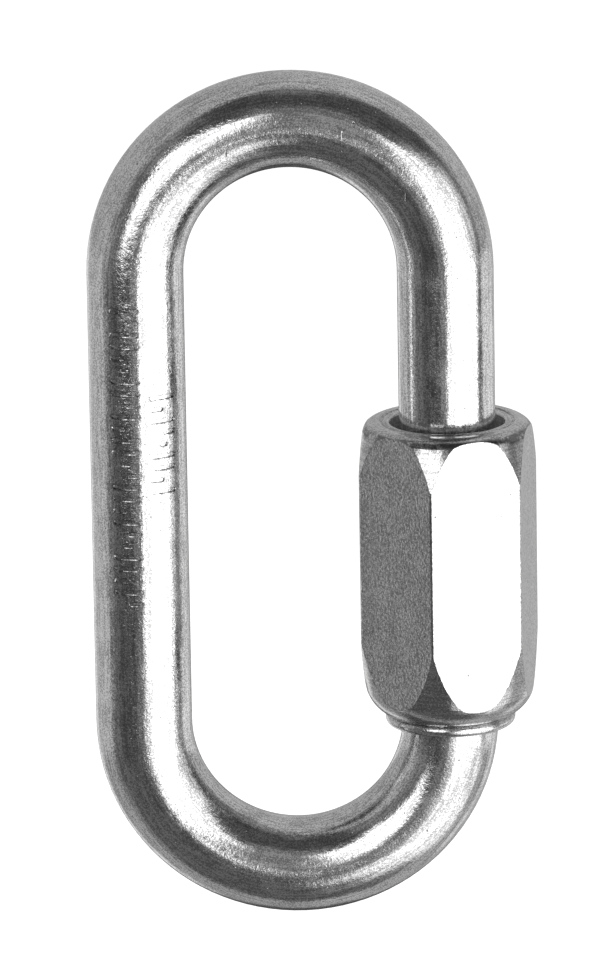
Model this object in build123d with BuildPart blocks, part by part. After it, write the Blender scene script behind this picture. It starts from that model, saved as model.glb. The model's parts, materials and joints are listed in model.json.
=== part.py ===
from build123d import *
import math
import os

# Oval screw-gate connecting link: one bent round bar whose two threaded ends are bridged by
# a six-sided sleeve nut.  Turning the nut carries it up the shank and opens the gap.
# Millimetres.  +Z runs up the long axis, +X points to the nut's side, +Y is the link's back.
# The origin is the inside crown of the upper bow, where the link hangs.

# ---- bar and oval --------------------------------------------------------------------
bar_diameter = 10.0
inside_width = 22.0
inside_length = 70.0

bar_radius = bar_diameter / 2
bow_radius = (inside_width + bar_diameter) / 2
upper_bow_z = -inside_width / 2
lower_bow_z = inside_width / 2 - inside_length
leg_length = upper_bow_z - lower_bow_z
shank_x = bow_radius
spine_x = -bow_radius
link_middle_z = -inside_length / 2
shank_axis = Axis((shank_x, 0, 0), (0, 0, 1))

# ---- screw thread, right-handed, rolled proud of the bar ------------------------------
thread_pitch = 1.75
turns_of_travel = 11.75
bar_thread_length = 7.4
crest_radius = 5.6
ridge_base_width = 1.05
ridge_crest_width = 0.35
buried_radius = 4.75
thread_gap = 0.15
nut_bore_radius = 5.15
nut_root_radius = 5.75
nut_buried_radius = 6.0
nut_travel = thread_pitch * turns_of_travel

# ---- sleeve nut, its foot being the foot of its collar --------------------------------
flats_width = 17.0
corner_angle = 19.0
corner_fillet = 0.35
foot_z = link_middle_z - 24.7
nut_top_z = link_middle_z + 7.85
collar_height = 1.4
sleeve_foot_z = foot_z + collar_height
mouth_radius = 5.95
mouth_depth = 3.75
mouth_floor_z = nut_top_z - mouth_depth

# turned outline of the sleeve: radius and height above its foot, or depth below its top
foot_edge = (6.95, 0)
foot_shoulder = (8.7, 2.2)
foot_taper_end = (9.95, 9.5)
head_taper_end = (9.95, 6.8)
head_shoulder = (8.85, 1.0)
head_edge = (7.5, 0.08)
groove_outer_edge = (7.0, 0.08)
groove_outer_floor = (6.92, 0.2)
groove_inner_floor = (6.78, 0.2)
lip_crown = (6.45, 0)
lip_inner_edge = (mouth_radius, 0.5)
shoulder_bulge = 0.25
taper_bulge = 0.1

# foot collar: the radii of its bore, its neck under the sleeve, its bead and its foot
collar_bore_radius = 5.8
collar_neck_radius = 6.4
collar_bead_radius = 6.72
collar_foot_radius = 6.1
collar_neck_depth = 0.15
collar_bead_depth = 0.5

# ---- gate gap between the two bar ends; the raised nut's foot is level with the upper one
gate_gap = 12.0
upper_end_z = foot_z + nut_travel
lower_end_z = upper_end_z - gate_gap
gate_middle_z = (lower_end_z + upper_end_z) / 2
threaded_end_length = lower_end_z - lower_bow_z
end_chamfer = 0.7

# ---- pressed batch marks on the spine: plain bars of three lengths, no lettering --------
mark_depth = 0.18
mark_step = 1.25
mark_width = 0.5
# length and sideways offset of each kind of bar, as shares of the row's width
mark_kinds = {
    "|": (1.0, 0.0),
    "'": (0.5, 0.25),
    ",": (0.5, -0.25),
    ".": (0.32, 0.0),
}
long_row_angle = -14.0
long_row_width = 3.2
long_row_pattern = "|'||,.||'|,||.'||,|'.||,|'"
long_row_top_z = link_middle_z + 21.0
short_row_angle = 33.0
short_row_width = 3.0
short_row_pattern = "|,|'.||,|"
short_row_top_z = link_middle_z + 11.7


def helical_ridge(start_z, turns, inner_radius, outer_radius, inner_width, outer_width):
    """A right-handed ridge of trapezoid section about the shank axis."""
    path = Helix(
        pitch=thread_pitch,
        height=turns * thread_pitch,
        radius=inner_radius,
        center=(shank_x, 0, start_z),
    )
    section_plane = Plane(
        origin=(shank_x + inner_radius, 0, start_z),
        x_dir=(1, 0, 0),
        z_dir=(0, -1, 0),
    )
    with BuildPart(mode=Mode.PRIVATE) as ridge:
        with BuildSketch(section_plane):
            with BuildLine():
                Polyline(
                    (0, -inner_width / 2),
                    (outer_radius - inner_radius, -outer_width / 2),
                    (outer_radius - inner_radius, outer_width / 2),
                    (0, inner_width / 2),
                    close=True,
                )
            make_face()
        sweep(path=path, is_frenet=True)
    return ridge.part


def outline_on_shank(*points):
    """A closed outline of (radius, height) points beside the shank axis, ready to be turned."""
    with BuildSketch(Plane.XZ, mode=Mode.PRIVATE) as outline:
        with BuildLine():
            Polyline(*[(shank_x + radius, height) for radius, height in points], close=True)
        make_face()
    return outline.sketch


def ridge_width_at(radius):
    """Axial width of the bar's thread ridge at a radius."""
    share = (radius - bar_radius) / (crest_radius - bar_radius)
    return ridge_base_width + (ridge_crest_width - ridge_base_width) * share


# Both threads share one helix, which passes the middle of the gate at angle zero, so the
# lower end is the upper one turned end for end and the nut is in step with both.

# Each ridge is made over length and then trimmed by a turned outline, whose 45 degree ends
# let it rise out of the bar's chamfer and sink back into the bar.
trim_margin = 0.5

# ---- one threaded bar end, its tip down --------------------------------------------------
tip_z = upper_end_z
tip_radius = bar_radius - end_chamfer
runout_z = tip_z + bar_thread_length
trim_radius = crest_radius + trim_margin
whole_turns_to_tip = math.floor((tip_z - gate_middle_z) / thread_pitch)
ridge_foot_z = gate_middle_z + (whole_turns_to_tip - 1) * thread_pitch
ridge_turns = math.ceil((runout_z - ridge_foot_z) / thread_pitch)

with BuildPart() as end_ridge:
    add(
        helical_ridge(
            ridge_foot_z,
            ridge_turns,
            buried_radius,
            crest_radius,
            ridge_width_at(buried_radius),
            ridge_crest_width,
        )
    )
    revolve(
        outline_on_shank(
            (0, tip_z),
            (tip_radius, tip_z),
            (trim_radius, tip_z + trim_radius - tip_radius),
            (trim_radius, runout_z - trim_radius + tip_radius),
            (tip_radius, runout_z),
            (0, runout_z),
        ),
        axis=shank_axis,
        mode=Mode.INTERSECT,
    )

with BuildPart() as threaded_end:
    revolve(
        outline_on_shank(
            (0, tip_z),
            (tip_radius, tip_z),
            (bar_radius, tip_z + end_chamfer),
            (bar_radius, tip_z + threaded_end_length),
            (0, tip_z + threaded_end_length),
        ),
        axis=shank_axis,
    )
    add(end_ridge.part)

# ---- pressed marks -----------------------------------------------------------------------
with BuildPart() as pressed_marks:
    for angle, top_z, row_width, pattern in (
        (long_row_angle, long_row_top_z, long_row_width, long_row_pattern),
        (short_row_angle, short_row_top_z, short_row_width, short_row_pattern),
    ):
        # the row's plane holds the spine axis and faces outwards; its x runs down the spine
        facing = (math.sin(math.radians(angle)), -math.cos(math.radians(angle)), 0)
        row_plane = Plane(origin=(spine_x, 0, top_z), x_dir=(0, 0, -1), z_dir=facing)
        for place, kind in enumerate(pattern):
            length_share, offset_share = mark_kinds[kind]
            with BuildSketch(row_plane):
                with Locations((place * mark_step, offset_share * row_width)):
                    SlotOverall(length_share * row_width, mark_width, rotation=90)
            extrude(amount=bar_radius + 1)
    # every mark has the same depth below the round bar
    with BuildSketch(Plane.XY.offset(lower_bow_z)):
        with Locations((spine_x, 0)):
            Circle(bar_radius - mark_depth)
    extrude(amount=leg_length, mode=Mode.SUBTRACT)

# ---- link body -------------------------------------------------------------------------
with BuildPart() as link_body:
    # spine, the long leg opposite the nut
    with BuildSketch(Plane.XY.offset(lower_bow_z)):
        with Locations((spine_x, 0)):
            Circle(bar_radius)
    extrude(amount=leg_length)
    add(pressed_marks.part, mode=Mode.SUBTRACT)
    # upper and lower bows, half rings that join the spine to the shank
    for bow_z, bow_sweep in ((upper_bow_z, -180), (lower_bow_z, 180)):
        with BuildSketch(Plane.XY.offset(bow_z)):
            with Locations((shank_x, 0)):
                Circle(bar_radius)
        revolve(axis=Axis((0, 0, bow_z), (0, 1, 0)), revolution_arc=bow_sweep)
    # plain shank above the upper threaded end
    with BuildSketch(Plane.XY.offset(tip_z + threaded_end_length)):
        with Locations((shank_x, 0)):
            Circle(bar_radius)
    extrude(amount=upper_bow_z - tip_z - threaded_end_length)
    # the two threaded ends, the lower one turned end for end about the middle of the gate
    add(threaded_end.part)
    add(threaded_end.part.rotate(Axis((shank_x, 0, gate_middle_z), (1, 0, 0)), 180))

# ---- sleeve nut ------------------------------------------------------------------------
flank_slope = (ridge_base_width - ridge_crest_width) / 2 / (crest_radius - bar_radius)
flank_gap = thread_gap / math.cos(math.atan(flank_slope))


def nut_land_width_at(radius):
    """Axial width of the nut's own thread ridge, which fills the space between the bar's turns."""
    return thread_pitch - ridge_width_at(radius) - 2 * flank_gap


# half a turn out of step with the bar's ridge, so that it runs in the middle of the space
turns_to_foot = math.ceil((gate_middle_z - sleeve_foot_z) / thread_pitch) + 0.5
nut_ridge_turns = math.ceil((nut_top_z - sleeve_foot_z) / thread_pitch) + 1
inner_trim_radius = nut_bore_radius - trim_margin
outer_trim_radius = nut_buried_radius + trim_margin
trim_rise = outer_trim_radius - inner_trim_radius

with BuildPart() as nut_ridge:
    add(
        helical_ridge(
            gate_middle_z - turns_to_foot * thread_pitch,
            nut_ridge_turns,
            nut_bore_radius,
            nut_buried_radius,
            nut_land_width_at(nut_bore_radius),
            nut_land_width_at(nut_buried_radius),
        )
    )
    revolve(
        outline_on_shank(
            (inner_trim_radius, sleeve_foot_z),
            (outer_trim_radius, sleeve_foot_z + trim_rise),
            (outer_trim_radius, mouth_floor_z - trim_rise),
            (inner_trim_radius, mouth_floor_z),
        ),
        axis=shank_axis,
        mode=Mode.INTERSECT,
    )

def above_foot(station):
    """A station of the sleeve's outline that is measured up from its foot."""
    radius, height = station
    return Vector(shank_x + radius, sleeve_foot_z + height)


def below_top(station):
    """A station of the sleeve's outline that is measured down from its top."""
    radius, depth = station
    return Vector(shank_x + radius, nut_top_z - depth)


with BuildPart() as sleeve_nut:
    with BuildSketch(Plane.XY.offset(sleeve_foot_z)):
        with Locations((shank_x, 0)):
            RegularPolygon(
                radius=flats_width / 2,
                side_count=6,
                major_radius=False,
                rotation=corner_angle,
            )
    extrude(amount=nut_top_z - sleeve_foot_z)
    fillet(sleeve_nut.edges().filter_by(Axis.Z), radius=corner_fillet)
    # both ends are turned down to an ogive, which leaves an arch on every flat
    with BuildSketch(Plane.XZ):
        with BuildLine():
            Line((shank_x, sleeve_foot_z), above_foot(foot_edge))
            SagittaArc(above_foot(foot_edge), above_foot(foot_shoulder), -shoulder_bulge)
            SagittaArc(above_foot(foot_shoulder), above_foot(foot_taper_end), -taper_bulge)
            Line(above_foot(foot_taper_end), below_top(head_taper_end))
            SagittaArc(below_top(head_taper_end), below_top(head_shoulder), -taper_bulge)
            SagittaArc(below_top(head_shoulder), below_top(head_edge), -shoulder_bulge)
            # a turned groove sets off the rounded lip of the mouth
            Polyline(
                below_top(head_edge),
                below_top(groove_outer_edge),
                below_top(groove_outer_floor),
                below_top(groove_inner_floor),
            )
            ThreePointArc(
                below_top(groove_inner_floor),
                below_top(lip_crown),
                below_top(lip_inner_edge),
            )
            Polyline(
                below_top(lip_inner_edge),
                (shank_x, below_top(lip_inner_edge).Y),
                (shank_x, sleeve_foot_z),
            )
        make_face()
    revolve(axis=shank_axis, mode=Mode.INTERSECT)
    # bore at the thread's root, with a plain relief at the mouth
    revolve(
        outline_on_shank(
            (0, sleeve_foot_z - 1),
            (nut_root_radius, sleeve_foot_z - 1),
            (nut_root_radius, mouth_floor_z),
            (mouth_radius, mouth_floor_z),
            (mouth_radius, nut_top_z + 1),
            (0, nut_top_z + 1),
        ),
        axis=shank_axis,
        mode=Mode.SUBTRACT,
    )
    add(nut_ridge.part)

# ---- foot collar -----------------------------------------------------------------------
neck_z = sleeve_foot_z - collar_neck_depth
bead_z = sleeve_foot_z - collar_bead_depth

with BuildPart() as nut_foot_collar:
    with BuildSketch(Plane.XZ):
        with BuildLine():
            Polyline(
                (shank_x + collar_neck_radius, neck_z),
                (shank_x + collar_neck_radius, sleeve_foot_z),
                (shank_x + collar_bore_radius, sleeve_foot_z),
                (shank_x + collar_bore_radius, foot_z),
                (shank_x + collar_foot_radius, foot_z),
            )
            ThreePointArc(
                (shank_x + collar_foot_radius, foot_z),
                (shank_x + collar_bead_radius, bead_z),
                (shank_x + collar_neck_radius, neck_z),
            )
        make_face()
    revolve(axis=shank_axis)

os.makedirs("parts", exist_ok=True)
for label, built in (
    ("link_body", link_body),
    ("sleeve_nut", sleeve_nut),
    ("nut_foot_collar", nut_foot_collar),
):
    built.part.label = label
    export_step(built.part, f"parts/{label}.step")
    print(label, built.part.is_valid, built.part.volume, len(built.part.solids()))
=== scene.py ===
import json
import math

import bpy
from mathutils import Matrix, Vector


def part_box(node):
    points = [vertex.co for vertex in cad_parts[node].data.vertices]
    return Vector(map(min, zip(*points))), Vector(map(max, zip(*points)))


# Looks of the oval screw-gate link: bright zinc plate on a bent bar, a drawn hexagonal sleeve
# nut and its turned foot collar.  Metres; +X is the nut's side and -Y the front.
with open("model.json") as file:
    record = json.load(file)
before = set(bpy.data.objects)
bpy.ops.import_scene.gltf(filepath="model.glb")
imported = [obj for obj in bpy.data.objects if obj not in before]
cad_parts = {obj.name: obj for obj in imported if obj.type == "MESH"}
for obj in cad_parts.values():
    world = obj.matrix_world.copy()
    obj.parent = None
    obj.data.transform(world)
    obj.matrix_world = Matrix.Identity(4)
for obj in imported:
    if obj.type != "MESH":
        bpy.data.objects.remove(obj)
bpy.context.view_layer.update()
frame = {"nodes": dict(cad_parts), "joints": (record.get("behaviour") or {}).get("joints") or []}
scene = bpy.context.scene

# ---- places worked out from the frame -----------------------------------------------------
link_low, link_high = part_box("link_body")
nut_top_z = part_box("sleeve_nut")[1].z
nut_hinge = next(joint for joint in frame["joints"] if joint["name"] == "nut_turn")
shank_x = nut_hinge["pos_m"][0]
bar_diameter = 2 * (-shank_x - link_low.x)
bow_radius = shank_x
upper_bow_z = link_high.z - bar_diameter / 2 - bow_radius
lower_bow_z = link_low.z + bar_diameter / 2 + bow_radius
link_centre = Vector((0, 0, (link_low.z + link_high.z) / 2))

MM = 1000.0
MICRON = 0.000001

# ---- the zinc plate; lengths in metres, or in millimetres where the name says so -----------
CLOUD_SHARE = 0.15
FINE_SHARE = 0.55
MARKS_SHARE = 0.3
TONE_RANGE = (0.42, 0.58)
ROUGHNESS_RANGE = (0.1, 0.15)
PIT_DEPTH = 20 * MICRON
# Dark grey and how much of it covers the dirt in pits and nicks and the painted shade.
GRIME_AND_SHADE_GREY = 0.08
GRIME_AND_SHADE_COVER = 0.75
# Width of the line of painted shade along sharp edges.
SHADED_EDGE_WIDTH = 220 * MICRON
BORE_RADIUS_MM = 6.0
BORE_EDGE_MM = 0.3
BORE_METALLIC = 0.35
DRAWN_STRETCH = 0.06
RING_SWING = 0.8
SPARKLE_ACROSS_MM = (-12.0, -2.0)
SPARKLE_SHARES = (0.85, 0.45)
TURNED_SLOPES = (0.02, 0.08)
# Depths below the nut's top where the ring of painted shade on its shoulder starts and fades out.
HEAD_SHADE_TOP_MM = (0.25, 0.5)
HEAD_SHADE_FOOT_MM = (1.0, 1.7)
NICK_STRETCH = (2.2, 2.2, 0.35)


# ---- node helpers --------------------------------------------------------------------------
class Graph:
    """A small shorthand for building a node tree."""

    def __init__(self, tree):
        self.tree = tree
        tree.nodes.clear()

    def node(self, kind, inputs=None, **settings):
        made = self.tree.nodes.new(kind)
        for key, value in settings.items():
            setattr(made, key, value)
        for key, value in (inputs or {}).items():
            if isinstance(value, bpy.types.NodeSocket):
                self.tree.links.new(value, made.inputs[key])
            else:
                made.inputs[key].default_value = value
        return made

    def math(self, operation, first, second=0.0):
        return self.node("ShaderNodeMath", {0: first, 1: second}, operation=operation).outputs[0]

    def vector_math(self, operation, first, second, output=0):
        made = self.node("ShaderNodeVectorMath", {0: first, 1: second}, operation=operation)
        return made.outputs[output]

    def vector(self, x, y, z):
        return self.node("ShaderNodeCombineXYZ", {0: x, 1: y, 2: z}).outputs[0]

    def noise(self, vector, scale, detail, roughness, distortion=0.0):
        return self.node(
            "ShaderNodeTexNoise",
            {
                "Vector": vector,
                "Scale": scale,
                "Detail": detail,
                "Roughness": roughness,
                "Distortion": distortion,
            },
        ).outputs["Fac"]

    def ramp(self, value, low, high, to_low=0.0, to_high=1.0):
        return self.node(
            "ShaderNodeMapRange",
            {
                "Value": value,
                "From Min": low,
                "From Max": high,
                "To Min": to_low,
                "To Max": to_high,
            },
            interpolation_type="SMOOTHSTEP",
        ).outputs[0]

    def colour(self, value, dark, light):
        made = self.node("ShaderNodeMix", {"Factor": value}, data_type="RGBA")
        made.inputs["A"].default_value = (*dark, 1)
        made.inputs["B"].default_value = (*light, 1)
        return made.outputs["Result"]


def millimetres(graph):
    """The piece's own coordinates, in millimetres, as separate values."""
    place = graph.node("ShaderNodeTexCoord").outputs["Object"]
    scaled = graph.node("ShaderNodeVectorMath", {0: place, "Scale": MM}, operation="SCALE")
    split = graph.node("ShaderNodeSeparateXYZ", {0: scaled.outputs[0]})
    return scaled.outputs[0], split.outputs[0], split.outputs[1], split.outputs[2]


def pits(graph, place, scale, share, near, far):
    """1 in small scattered pits, 0 elsewhere.

    share is the part of the cells that has a pit, which fades out from near to far.
    """
    cell = graph.node("ShaderNodeTexVoronoi", {"Vector": place, "Scale": scale, "Randomness": 1.0})
    inside = graph.ramp(cell.outputs["Distance"], near, far, 1.0, 0.0)
    chosen = graph.node("ShaderNodeSeparateColor", {0: cell.outputs["Color"]}).outputs[0]
    return graph.math("MULTIPLY", inside, graph.math("LESS_THAN", chosen, share))


def nicks(graph, place, turn, share):
    """1 in short narrow nicks that all lie one way, 0 elsewhere."""
    stretched = graph.node(
        "ShaderNodeMapping",
        {"Vector": place, "Rotation": turn, "Scale": NICK_STRETCH},
    ).outputs[0]
    return pits(graph, stretched, 0.5, share, 0.05, 0.12)


def edge_painted_shade(graph, place):
    """1 in the broken dark line of painted shade along sharp edges and creases, 0 elsewhere."""
    rounded = graph.node("ShaderNodeBevel", {"Radius": SHADED_EDGE_WIDTH}, samples=6).outputs[0]
    facing = graph.node("ShaderNodeNewGeometry").outputs["Normal"]
    alike = graph.vector_math("DOT_PRODUCT", rounded, facing, "Value")
    edge = graph.ramp(alike, 0.99, 0.9985, 1.0, 0.0)
    broken = graph.ramp(graph.noise(place[0], 1.6, 3.0, 0.7), 0.42, 0.56)
    return graph.math("MULTIPLY", edge, broken)


def specks_of(graph, place, small_pits):
    """1 in pits and short nicks of the plate, 0 elsewhere."""
    pitted = graph.math(
        "MAXIMUM",
        pits(graph, place[0], 0.9, 0.12, 0.06, 0.12),
        pits(graph, place[0], 2.1, small_pits, 0.08, 0.17),
    )
    nicked = graph.math(
        "MAXIMUM",
        nicks(graph, place[0], (0.4, 1.1, 0.3), 0.07),
        nicks(graph, place[0], (1.0, -0.6, 0.9), 0.05),
    )
    return graph.math("MAXIMUM", pitted, nicked)


def bore_metallic(graph, place):
    """Less metallic inside the bore, where the plate is dull with grease and dust."""
    from_axis = graph.vector_math("SUBTRACT", place[0], (shank_x * MM, 0, 0))
    level = graph.vector_math("MULTIPLY", from_axis, (1, 1, 0))
    radius = graph.node(
        "ShaderNodeVectorMath", {0: level}, operation="LENGTH"
    ).outputs["Value"]
    return graph.ramp(
        radius, BORE_RADIUS_MM, BORE_RADIUS_MM + BORE_EDGE_MM, BORE_METALLIC, 1.0
    )


def zinc(name, marks_of, relief_of, small_pits, tones, metallic_of=None, painted_shade_of=None):
    """Bright zinc plate.

    marks_of gives the value of the tool marks that also tint the plate, relief_of the list of
    (height, depth in metres) pairs, small_pits the share of fine pits and tones the darkest
    and lightest grey.  metallic_of gives how metallic the plate is where that varies, and
    the last argument a value that is 1 where the plate is darkened with painted shade.
    """
    material = bpy.data.materials.new(name)
    material.use_nodes = True
    graph = Graph(material.node_tree)
    place = millimetres(graph)
    marks = marks_of(graph, place)
    cloud = graph.noise(place[0], 0.4, 4.0, 0.65)
    fine = graph.noise(place[0], 6.0, 2.0, 0.7)
    mottle = graph.math(
        "ADD",
        graph.math("MULTIPLY", cloud, CLOUD_SHARE),
        graph.math("MULTIPLY", fine, FINE_SHARE),
    )
    tone = graph.math("ADD", mottle, graph.math("MULTIPLY", marks, MARKS_SHARE))
    base = graph.colour(
        graph.ramp(tone, *TONE_RANGE), (tones[0],) * 3, (tones[1],) * 3
    )
    specks = specks_of(graph, place, small_pits)
    # Dark grey for dirt in the pits and nicks, and for painted shade along sharp edges and, where
    # given, on the nut's shoulder.
    grime_and_shade = graph.math("MAXIMUM", specks, edge_painted_shade(graph, place))
    if painted_shade_of:
        grime_and_shade = graph.math("MAXIMUM", grime_and_shade, painted_shade_of(graph, place))
    worn_and_shaded = graph.node(
        "ShaderNodeMix",
        {"Factor": graph.math("MULTIPLY", grime_and_shade, GRIME_AND_SHADE_COVER)},
        data_type="RGBA",
    )
    graph.tree.links.new(base, worn_and_shaded.inputs["A"])
    worn_and_shaded.inputs["B"].default_value = (GRIME_AND_SHADE_GREY, GRIME_AND_SHADE_GREY, GRIME_AND_SHADE_GREY, 1)
    normal = None
    sunk = graph.math("SUBTRACT", 1.0, specks)
    for height, depth in relief_of(graph, place, marks) + [(sunk, PIT_DEPTH)]:
        inputs = {"Height": height, "Distance": depth, "Strength": 1.0}
        if normal is not None:
            inputs["Normal"] = normal
        normal = graph.node("ShaderNodeBump", inputs).outputs[0]
    shader = graph.node(
        "ShaderNodeBsdfPrincipled",
        {
            "Base Color": worn_and_shaded.outputs["Result"],
            "Metallic": metallic_of(graph, place) if metallic_of else 1.0,
            "Roughness": graph.ramp(cloud, 0.35, 0.65, *ROUGHNESS_RANGE),
            "Normal": normal,
        },
    )
    graph.node("ShaderNodeOutputMaterial", {"Surface": shader.outputs[0]})
    return material


def along_the_bar(graph, x, y, z):
    """Coordinates for lines drawn along the bar: they hardly change along the oval."""
    straight = graph.node(
        "ShaderNodeClamp",
        {"Value": z, "Min": lower_bow_z * MM, "Max": upper_bow_z * MM},
    ).outputs[0]
    beyond = graph.math("SUBTRACT", z, straight)
    aside = graph.math("ABSOLUTE", x)
    turned = graph.math("ARCTAN2", beyond, aside)
    along = graph.math("ADD", straight, graph.math("MULTIPLY", turned, bow_radius * MM))
    squares = graph.math(
        "ADD", graph.math("MULTIPLY", beyond, beyond), graph.math("MULTIPLY", aside, aside)
    )
    slow = graph.math("MULTIPLY", along, DRAWN_STRETCH)
    return graph.vector(graph.math("SQRT", squares), y, slow)


def drawn_marks(graph, place):
    """Fine lines drawn along the bar."""
    return graph.noise(along_the_bar(graph, *place[1:]), 4.0, 3.0, 0.6)


def crystals(graph, place):
    """Patches of sharp little facets, which sparkle beside a bright panel; fewer on the shank."""
    patches = graph.ramp(graph.noise(place[0], 2.3, 2.0, 0.6), 0.42, 0.62)
    share = graph.ramp(place[1], *SPARKLE_ACROSS_MM, *SPARKLE_SHARES)
    facets = graph.noise(place[0], 7.5, 3.0, 0.75)
    return graph.math("MULTIPLY", facets, graph.math("MULTIPLY", patches, share))


def bar_relief(graph, place, marks):
    """Orange peel, fine speckle and facets of the plate over lines drawn along the bar."""
    return [
        (crystals(graph, place), 13 * MICRON),
        (marks, 6 * MICRON),
        (graph.noise(place[0], 1.2, 2.0, 0.5), 7 * MICRON),
        (graph.noise(place[0], 3.2, 2.0, 0.55), 5 * MICRON),
        (graph.noise(place[0], 7.0, 1.0, 0.5), 5 * MICRON),
    ]


def around_the_shank(graph, x, y, z):
    """Coordinates for marks left by turning about the shank: they run round its axis."""
    from_axis = graph.math("SUBTRACT", x, shank_x * MM)
    squares = graph.math(
        "ADD", graph.math("MULTIPLY", from_axis, from_axis), graph.math("MULTIPLY", y, y)
    )
    angle = graph.math("ARCTAN2", y, from_axis)
    swing = graph.math("MULTIPLY", graph.math("SINE", angle), RING_SWING)
    return graph.vector(graph.math("SQRT", squares), swing, z)


def steepness(graph):
    """0 on the upright flats of the nut, 1 on its turned ends."""
    facing = graph.node("ShaderNodeTexCoord").outputs["Normal"]
    slope = graph.math("ABSOLUTE", graph.node("ShaderNodeSeparateXYZ", {0: facing}).outputs[2])
    return graph.ramp(slope, *TURNED_SLOPES)


def turned_rings(graph, place):
    """Rings left by the cutting tool."""
    return graph.noise(around_the_shank(graph, *place[1:]), 4.2, 3.0, 0.7, 0.3)


def nut_marks(graph, place):
    """Upright grain on the drawn flats and rings on the turned ends."""
    upright = graph.vector_math("MULTIPLY", place[0], (1.0, 1.0, 0.75))
    grain = graph.noise(upright, 4.0, 2.0, 0.6)
    blend = graph.node(
        "ShaderNodeMix", {"Factor": steepness(graph), "A": grain, "B": turned_rings(graph, place)}
    )
    return blend.outputs["Result"]


def head_painted_shade(graph, place):
    """1 in the ragged dark ring of painted shade on the shoulder below the nut's mouth, 0
    elsewhere.
    """
    below = graph.math("SUBTRACT", nut_top_z * MM, place[3])
    ring = graph.math(
        "MULTIPLY",
        graph.ramp(below, *HEAD_SHADE_TOP_MM),
        graph.ramp(below, *HEAD_SHADE_FOOT_MM, 1.0, 0.0),
    )
    ragged = graph.ramp(graph.noise(place[0], 0.9, 4.0, 0.75), 0.4, 0.54)
    turned = graph.math("MULTIPLY", ring, steepness(graph))
    return graph.math("MULTIPLY", turned, ragged)


def nut_relief(graph, place, marks):
    """The tool marks, fine speckle and facets."""
    return [
        (crystals(graph, place), 12 * MICRON),
        (marks, 18 * MICRON),
        (graph.noise(place[0], 7.0, 1.0, 0.5), 5 * MICRON),
    ]


# ---- a material for each node --------------------------------------------------------------
plates = {
    "link_body": zinc(
        "bar_zinc_plate", drawn_marks, bar_relief, small_pits=0.12, tones=(0.36, 0.84)
    ),
    "sleeve_nut": zinc(
        "nut_zinc_plate",
        nut_marks,
        nut_relief,
        small_pits=0.03,
        tones=(0.34, 0.72),
        metallic_of=bore_metallic,
        painted_shade_of=head_painted_shade,
    ),
    "nut_foot_collar": zinc(
        "collar_zinc_plate", turned_rings, nut_relief, small_pits=0.05, tones=(0.38, 0.8)
    ),
}
for node, material in plates.items():
    for material_slot in frame["nodes"][node].material_slots:
        material_slot.material = material


# ---- studio --------------------------------------------------------------------------------
FLOOR_DROP = 0.10
FLOOR_RADIUS = 3.0
FLOOR_GREY = 0.92
SHELL_RADIUS = 0.6
SHELL_REACH = 87.5
WHITE_RADIANCE = 1.12
SOFTBOX_SIZE = 0.8
SOFTBOX_WATTS = 6
SOFTBOX_PLACE = (0.4, -0.6, 0.9)


def pale_floor():
    """A plain pale floor well below the hanging link."""
    bpy.ops.mesh.primitive_circle_add(
        vertices=96,
        radius=FLOOR_RADIUS,
        fill_type="NGON",
        location=(0, 0, link_low.z - FLOOR_DROP),
    )
    floor = bpy.context.object
    floor.name = "floor"
    material = bpy.data.materials.new("floor_paint")
    material.use_nodes = True
    graph = Graph(material.node_tree)
    shader = graph.node(
        "ShaderNodeBsdfPrincipled",
        {"Base Color": (FLOOR_GREY, FLOOR_GREY, FLOOR_GREY, 1), "Roughness": 0.9},
    )
    graph.node("ShaderNodeOutputMaterial", {"Surface": shader.outputs[0]})
    floor.data.materials.append(material)
    floor.visible_glossy = False


# The studio round the link, seen only in its reflections.  Azimuth 0 is the front and grows
# towards +X; each soft panel is (azimuth from, to, elevation from, to, soft edge, radiance),
# with angles in degrees.  Where panels overlap, the brightest counts.
ROOM_RADIANCE = 0.095
SOFT_PANELS = (
    # tall front right panel, its left side stepped and fading
    (20, 70, 4, 24, 6, 1.6),
    (16, 62, -4, 9, 5, 2.1),
    (11, 64, -12, 0, 4, 2.3),
    (3, 66, -18, -10, 4, 2.4),
    (15, 66, -32, -14, 20, 2.4),
    (2, 30, -44, -12, 6, 0.45),
    (5, 66, -46, -30, 10, 1.6),
    (24, 52, -24, -6, 6, 3.4),
    (14, 68, -50, -34, 10, 1.9),
    (24, 92, -60, -42, 10, 1.3),
    (60, 79, -26, -6, 3, 2.4),
    (60, 96, -54, -24, 14, 1.3),
    (40, 83, -14, 24, 24, 1.08),
    (10, 100, -70, -52, 14, 0.3),
    # small panel high on the front left
    (-40, -7, -5, 28, 6, 2.1),
    # dim places between and under the panels
    (-14, 24, -20, 42, 8, 0.28),
    (-75, -46, -8, 50, 10, 0.24),
    (-87, -58, -32, -6, 6, 0.18),
    (-95, 90, -100, -26, 10, 0.14),
    # walls at the left, at the right and above, with a dark gap behind
    (-220, -67, -8, 52, 12, 0.48),
    (-220, -66, 48, 100, 16, 0.48),
    (-166, -82, -26, -4, 2, 0.6),
    (-166, -90, -100, -20, 8, 0.41),
    (-166, -76, -100, -28, 14, 0.27),
    (-220, -90, -100, -58, 8, 0.41),
    (-220, 220, 74, 100, 10, 0.2),
    (94, 125, -26, -4, 3, 0.95),
    (95, 220, -5, 100, 20, 0.54),
    (92, 166, -100, -22, 8, 0.48),
    (120, 166, -30, 0, 8, 0.56),
    (92, 220, -100, -58, 8, 0.44),
    # two pale panels beside the gap
    (-162, -146, -50, -6, 4, 0.95),
    (126, 144, -50, -6, 4, 0.9),
)


def direction_of(azimuth, elevation):
    """The unit vector towards an azimuth and an elevation in degrees."""
    aside = math.radians(azimuth)
    up = math.radians(elevation)
    return Vector(
        (math.sin(aside) * math.cos(up), -math.cos(aside) * math.cos(up), math.sin(up))
    )


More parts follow.
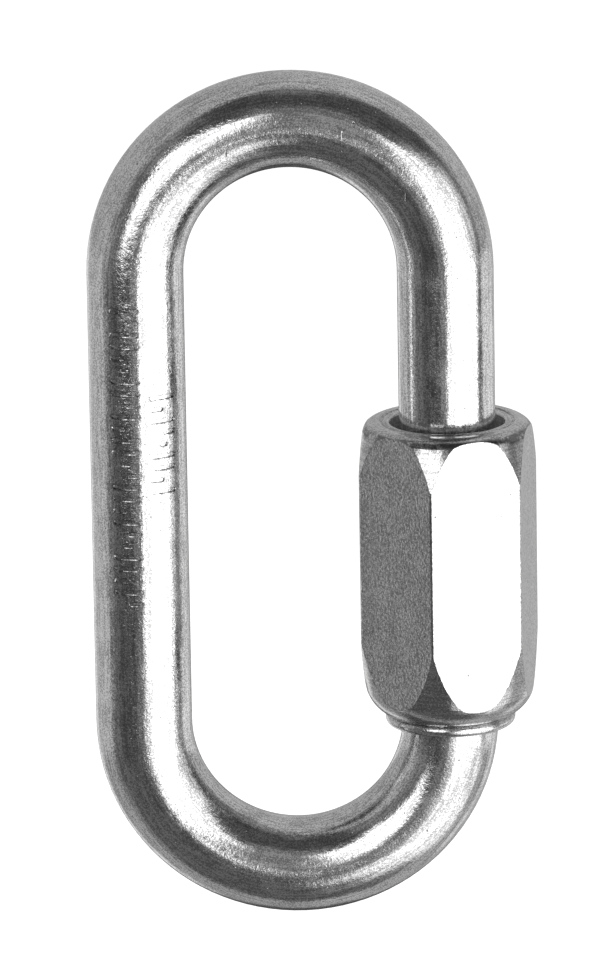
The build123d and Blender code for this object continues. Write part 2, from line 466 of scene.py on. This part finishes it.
def rise(value, edge, softness):
    """Smooth step from 0 to 1 round edge."""
    share = min(1.0, max(0.0, (value - edge) / softness + 0.5))
    return share * share * (3 - 2 * share)


def radiance_towards(azimuth, elevation):
    """How bright the studio is in one direction, in degrees."""
    brightest = ROOM_RADIANCE
    for left, right, low, high, softness, radiance in SOFT_PANELS:
        share = rise(azimuth, left, softness) * rise(-azimuth, -right, softness)
        share *= rise(elevation, low, softness) * rise(-elevation, -high, softness)
        brightest = max(brightest, ROOM_RADIANCE + (radiance - ROOM_RADIANCE) * share)
    return brightest


def studio_shell(columns=240, rows=100):
    """A round shell about the link that carries the soft panels."""
    corners = []
    radiances = []
    for row in range(rows + 1):
        elevation = SHELL_REACH * (2 * row / rows - 1)
        for column in range(columns):
            azimuth = 360 * column / columns - 180
            direction = direction_of(azimuth, elevation)
            corners.append(tuple(link_centre + direction * SHELL_RADIUS))
            radiances.append(radiance_towards(azimuth, elevation))
    faces = []
    for row in range(rows):
        for column in range(columns):
            after = (column + 1) % columns
            low = row * columns
            high = low + columns
            faces.append((low + column, low + after, high + after, high + column))
    mesh = bpy.data.meshes.new("studio_shell")
    mesh.from_pydata(corners, [], faces)
    mesh.attributes.new("radiance", "FLOAT", "POINT").data.foreach_set("value", radiances)
    shell = bpy.data.objects.new("studio_shell", mesh)
    scene.collection.objects.link(shell)
    material = bpy.data.materials.new("studio_shell_light")
    material.use_nodes = True
    graph = Graph(material.node_tree)
    level = graph.node("ShaderNodeAttribute", attribute_name="radiance").outputs["Fac"]
    glow = graph.node("ShaderNodeEmission", {"Color": (1, 1, 1, 1), "Strength": level})
    graph.node("ShaderNodeOutputMaterial", {"Surface": glow.outputs[0]})
    mesh.materials.append(material)
    shell.visible_camera = False
    shell.visible_diffuse = False
    shell.visible_transmission = False
    shell.visible_volume_scatter = False
    shell.visible_shadow = False


def studio_world():
    """White for the camera and the floor; a dim room for the link's reflections."""
    world = bpy.data.worlds.new("studio")
    scene.world = world
    world.use_nodes = True
    world.cycles.sampling_method = "NONE"
    graph = Graph(world.node_tree)
    rays = graph.node("ShaderNodeLightPath")
    white = graph.node(
        "ShaderNodeBackground", {"Color": (1, 1, 1, 1), "Strength": WHITE_RADIANCE}
    )
    dim = graph.node("ShaderNodeBackground", {"Color": (1, 1, 1, 1), "Strength": ROOM_RADIANCE})
    mixed = graph.node(
        "ShaderNodeMixShader",
        {0: rays.outputs["Is Glossy Ray"], 1: white.outputs[0], 2: dim.outputs[0]},
    )
    graph.node("ShaderNodeOutputWorld", {"Surface": mixed.outputs[0]})


def softbox():
    """A soft round light over the front right, which lights the floor."""
    light = bpy.data.lights.new("softbox", "AREA")
    light.shape = "DISK"
    light.size = SOFTBOX_SIZE
    light.energy = SOFTBOX_WATTS
    lamp = bpy.data.objects.new("softbox", light)
    lamp.location = SOFTBOX_PLACE
    towards_link = link_centre - lamp.location
    lamp.rotation_euler = towards_link.to_track_quat("-Z", "Y").to_euler()
    lamp.visible_glossy = False
    scene.collection.objects.link(lamp)


pale_floor()
studio_world()
studio_shell()
softbox()

# ---- camera --------------------------------------------------------------------------------
CAMERA_DISTANCE = 1.0
CAMERA_AZIMUTH = 0.316
CAMERA_ELEVATION = 15.0
CAMERA_ROLL = -0.941
LENS = 361.4
SENSOR_WIDTH = 36.0
NEAREST = 0.05
FURTHEST = 20.0
ASIDE = 0.0007
ABOVE = 0.0015

towards_camera = direction_of(CAMERA_AZIMUTH, CAMERA_ELEVATION)
camera_data = bpy.data.cameras.new("camera")
camera_data.lens = LENS
camera_data.sensor_width = SENSOR_WIDTH
camera_data.clip_start = NEAREST
camera_data.clip_end = FURTHEST
camera = bpy.data.objects.new("camera", camera_data)
scene.collection.objects.link(camera)
upright = towards_camera.to_track_quat("Z", "Y").to_matrix()
rolled = upright @ Matrix.Rotation(math.radians(CAMERA_ROLL), 3, "Z")
sideways, upwards = rolled.col[0], rolled.col[1]
camera.rotation_mode = "QUATERNION"
camera.rotation_quaternion = rolled.to_quaternion()
camera.location = (
    link_centre + towards_camera * CAMERA_DISTANCE + sideways * ASIDE + upwards * ABOVE
)
scene.camera = camera

scene.view_settings.view_transform = "Standard"
